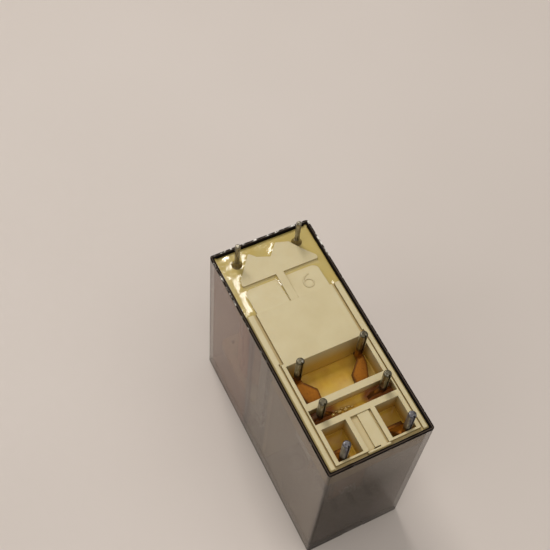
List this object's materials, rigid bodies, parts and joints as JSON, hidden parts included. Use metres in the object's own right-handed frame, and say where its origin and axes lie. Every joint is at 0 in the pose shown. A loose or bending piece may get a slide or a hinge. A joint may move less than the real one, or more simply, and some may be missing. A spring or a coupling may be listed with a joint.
{
  "type": "power relay",
  "caption": "Flat printed-circuit power relay with a smoky cover, cream base, resin seals, coil magnet and change-over contact.",
  "frame": {"origin": "middle of the seating plane, which is the top of the raised base plateau and the cover's rim", "axes": "+Z out along the terminals, away from the closed end; +X towards the contact end, -X is the coil end; Y across the narrow width"},
  "size_m": [0.029, 0.0126, 0.0291],
  "materials": {
    "smoky_cover": "glossy smoky transparent moulding",
    "white_ink": "matte pad print",
    "cream_plastic": "satin moulded PBT",
    "barrier_plastic": "satin moulded PBT",
    "clear_resin": "glossy pale yellow sealing resin",
    "amber_resin": "glossy amber sealing resin",
    "bobbin_plastic": "satin moulded plastic",
    "enamelled_wire": "glossy copper enamel",
    "insulation_tape": "amber polyester film",
    "tinned_pin": "dull tinned wire",
    "plated_iron": "plated soft iron",
    "brass_sheet": "thin rolled brass",
    "spring_steel": "bright spring steel",
    "card_plastic": "satin moulded plastic",
    "copper_sheet": "copper alloy, tinned at the pins",
    "spring_bronze": "rolled copper alloy strip",
    "silver_contact": "silver alloy, fine turned"
  },
  "bodies": {
    "housing": {"cover": "smoky_cover", "cover_marking": "white_ink", "base": "cream_plastic", "insulating_barrier": "barrier_plastic", "coil_end_resin": "clear_resin", "contact_well_resin": "amber_resin", "coil_bobbin": "bobbin_plastic", "coil_winding": "enamelled_wire", "coil_insulation_tape": "insulation_tape", "coil_lead_wires": "enamelled_wire", "coil_terminal_a1": "tinned_pin", "coil_terminal_a2": "tinned_pin", "magnet_core": "plated_iron", "magnet_yoke": "plated_iron", "armature_spring": "spring_steel", "armature_spring_rivets": "spring_steel", "common_terminal": "copper_sheet", "common_spring_rivets": "copper_sheet", "nc_terminal": "copper_sheet", "nc_fixed_contact": "silver_contact", "no_terminal": "copper_sheet", "no_fixed_contact": "silver_contact"},
    "armature": {"armature": "plated_iron", "anti_stick_shim": "brass_sheet"},
    "actuator_card": {"actuator_card": "card_plastic"},
    "contact_arm": {"common_contact_spring": "spring_bronze", "moving_contact": "silver_contact"}
  },
  "joints": [
    {"name": "armature_pivot", "type": "hinge", "parent": "housing", "child": "armature", "pos_m": [-0.0017, 0, -0.0212], "axis": [0, 1, 0], "range_deg": [0, 3.7]},
    {"name": "card_slide", "type": "slide", "parent": "housing", "child": "actuator_card", "axis": [1, 0, 0], "range_m": [0, 0.0004978]},
    {"name": "contact_arm_flex", "type": "hinge", "parent": "housing", "child": "contact_arm", "pos_m": [0.00812, 0, -0.004], "axis": [0, -1, 0], "range_deg": [0, 3]}
  ],
  "couplings": [
    {"joint": "card_slide", "follows": "armature_pivot", "m_per_rad": 0.0077},
    {"joint": "contact_arm_flex", "follows": "armature_pivot", "ratio": 0.81053}
  ]
}
